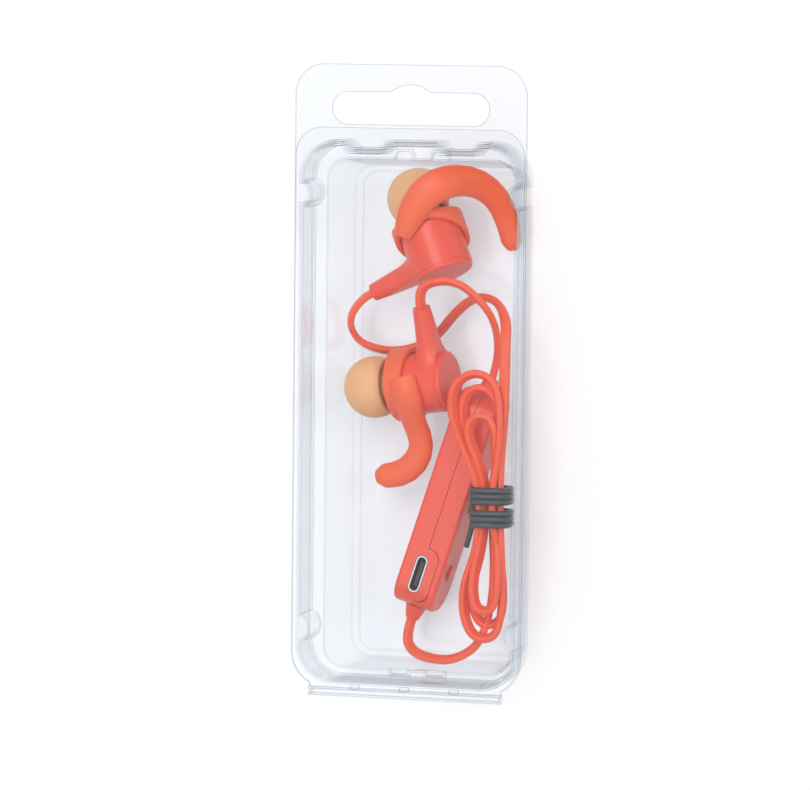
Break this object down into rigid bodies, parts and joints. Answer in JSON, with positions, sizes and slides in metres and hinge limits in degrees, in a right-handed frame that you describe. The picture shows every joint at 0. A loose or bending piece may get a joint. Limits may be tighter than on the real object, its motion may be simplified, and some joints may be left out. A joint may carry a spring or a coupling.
{
  "type": "plastic clamshell pack",
  "caption": "Clear hinged clamshell pack with a hang tab, holding a coral wireless in-ear headset with ear hooks, an in-line control box and a tied flat cord.",
  "frame": {"origin": "under the middle of the closed pack, on the plane of the tray's floor", "axes": "+Y along the pack towards the hang tab, +Z from the tray's floor towards the lid, +X across"},
  "size_m": [0.0454, 0.1208, 0.0264],
  "materials": {
    "clear_sheet": "clear PET",
    "coral_plastic": "satin",
    "hook_rubber": "soft satin",
    "tip_rubber": "soft, slightly translucent",
    "cord_rubber": "satin",
    "port_metal": "plated",
    "port_tongue": "matte",
    "tie_plastic": "satin"
  },
  "bodies": {
    "tray": {"tray": "clear_sheet", "upper_housing": "coral_plastic", "upper_rear_cap": "coral_plastic", "upper_nozzle": "coral_plastic", "upper_ear_tip": "tip_rubber", "upper_ear_hook": "hook_rubber", "lower_housing": "coral_plastic", "lower_rear_cap": "coral_plastic", "lower_nozzle": "coral_plastic", "lower_ear_tip": "tip_rubber", "lower_ear_hook": "hook_rubber", "control_base": "coral_plastic", "control_cover": "coral_plastic", "boot_lower": "hook_rubber", "boot_upper": "hook_rubber", "port_shell": "port_metal", "port_tongue": "port_tongue", "long_cord_start": "cord_rubber", "long_cord_end": "cord_rubber", "short_cord": "cord_rubber", "hank": "cord_rubber", "twist_tie": "tie_plastic"},
    "lid": {"lid": "clear_sheet"},
    "button_lower": {"button_lower": "coral_plastic"},
    "button_middle": {"button_middle": "coral_plastic"},
    "button_upper": {"button_upper": "coral_plastic"}
  },
  "joints": [
    {"name": "lid_hinge", "type": "hinge", "parent": "tray", "child": "lid", "pos_m": [0, -0.0604, 0.0248], "axis": [1, 0, 0], "range_deg": [0, 180]},
    {"name": "button_lower_press", "type": "slide", "parent": "tray", "child": "button_lower", "axis": [-0.95, 0.3123, 0], "range_m": [0, 0.0003], "stiffness_N_per_m": 300},
    {"name": "button_middle_press", "type": "slide", "parent": "tray", "child": "button_middle", "axis": [-0.95, 0.3123, 0], "range_m": [0, 0.0003], "stiffness_N_per_m": 300},
    {"name": "button_upper_press", "type": "slide", "parent": "tray", "child": "button_upper", "axis": [-0.95, 0.3123, 0], "range_m": [0, 0.0003], "stiffness_N_per_m": 300}
  ]
}
